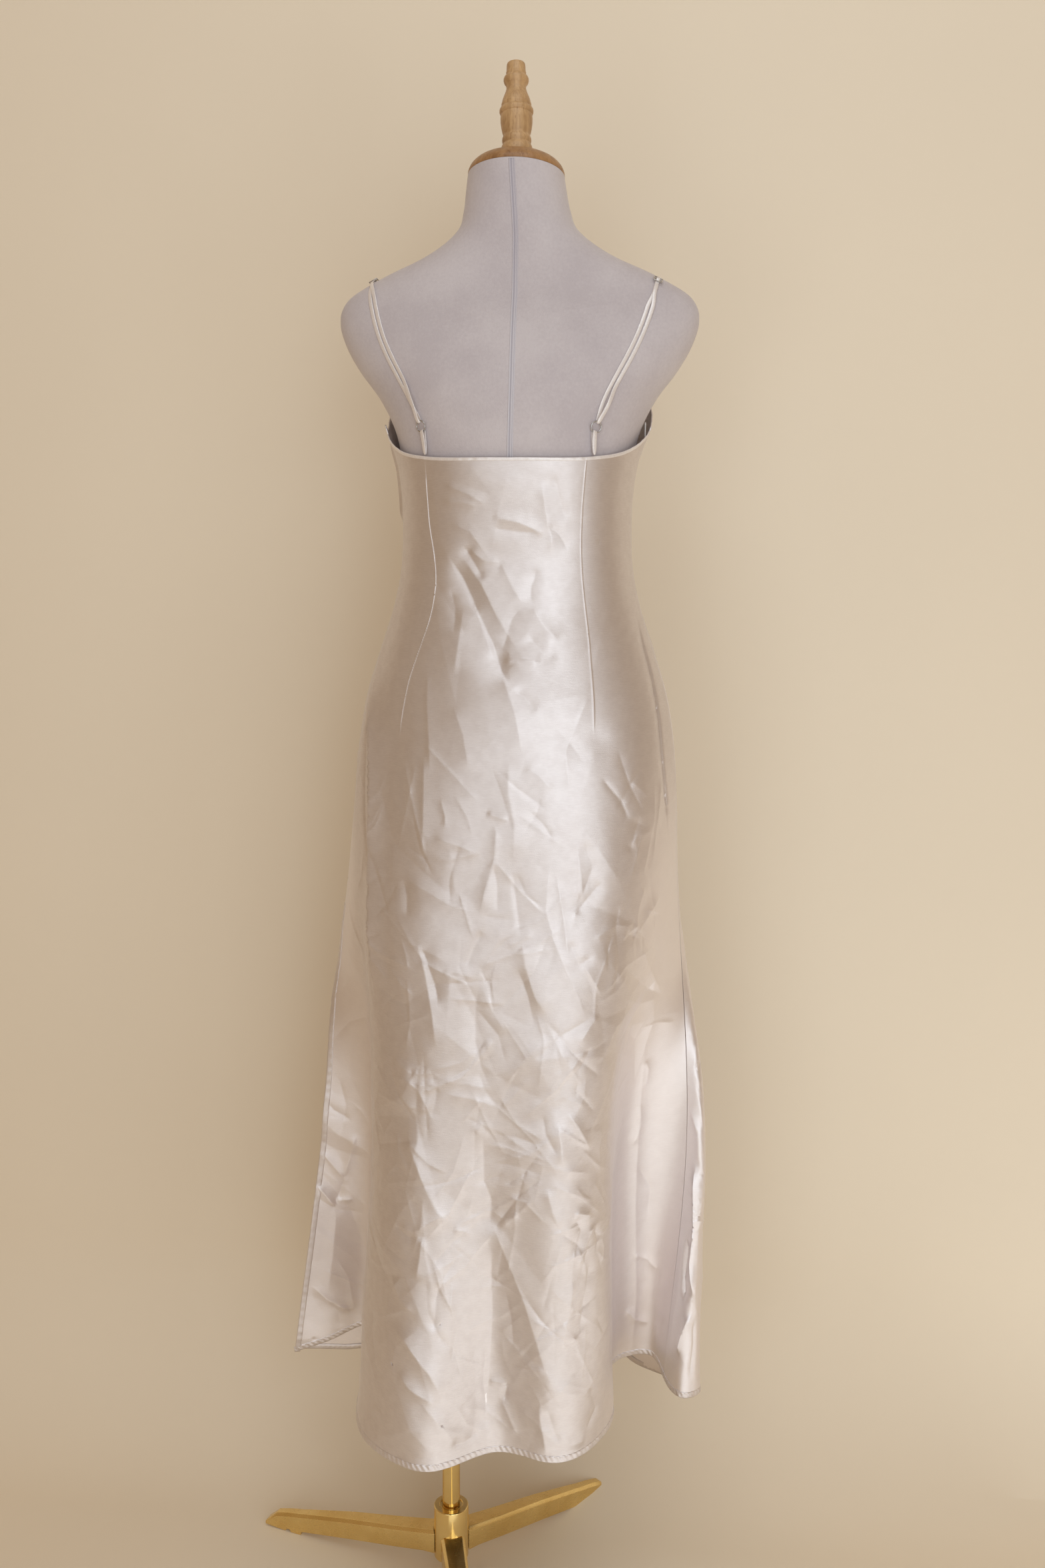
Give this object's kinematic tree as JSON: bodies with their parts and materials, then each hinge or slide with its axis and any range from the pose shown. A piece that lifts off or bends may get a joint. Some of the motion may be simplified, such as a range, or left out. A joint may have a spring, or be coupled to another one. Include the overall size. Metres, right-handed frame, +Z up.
{
  "type": "slip dress on a dress form",
  "caption": "Long satin slip dress with thin straps, back darts and a side slit, worn by a limbless dress form on a three-legged stand.",
  "frame": {"origin": "middle of the bounding box, on the floor under the stand's soles", "axes": "+Z up, the longest extent; the garment's front faces -Y and the wearer's left is +X"},
  "size_m": [0.5608, 0.467, 1.7937],
  "materials": {
    "back_panel": "champagne satin, glossy, creased",
    "front_panel": "champagne satin, glossy, creased",
    "strap_left": "satin rouleau",
    "strap_right": "satin rouleau",
    "ring_left": "bright silver-coloured metal",
    "ring_right": "bright silver-coloured metal",
    "slider_left": "bright silver-coloured metal",
    "slider_right": "bright silver-coloured metal",
    "tab_left": "satin rouleau",
    "tab_right": "satin rouleau",
    "zip_tape": "woven tape",
    "zip_pull": "pale enamel",
    "torso": "grey-mauve knitted jersey, matt",
    "neck_cap": "varnished wood",
    "finial": "varnished turned wood",
    "base_plate": "plain wood",
    "pole_sleeve": "polished",
    "pole": "polished",
    "hub": "polished",
    "leg_back": "satin brass finish",
    "leg_front_left": "satin brass finish",
    "leg_front_right": "satin brass finish"
  },
  "bodies": {
    "root": {"back_panel": "back_panel", "front_panel": "front_panel", "strap_left": "strap_left", "strap_right": "strap_right", "ring_left": "ring_left", "ring_right": "ring_right", "slider_left": "slider_left", "slider_right": "slider_right", "tab_left": "tab_left", "tab_right": "tab_right", "zip_tape": "zip_tape", "zip_pull": "zip_pull", "torso": "torso", "neck_cap": "neck_cap", "finial": "finial", "base_plate": "base_plate", "pole_sleeve": "pole_sleeve", "pole": "pole", "hub": "hub", "leg_back": "leg_back", "leg_front_left": "leg_front_left", "leg_front_right": "leg_front_right"}
  },
  "joints": []
}
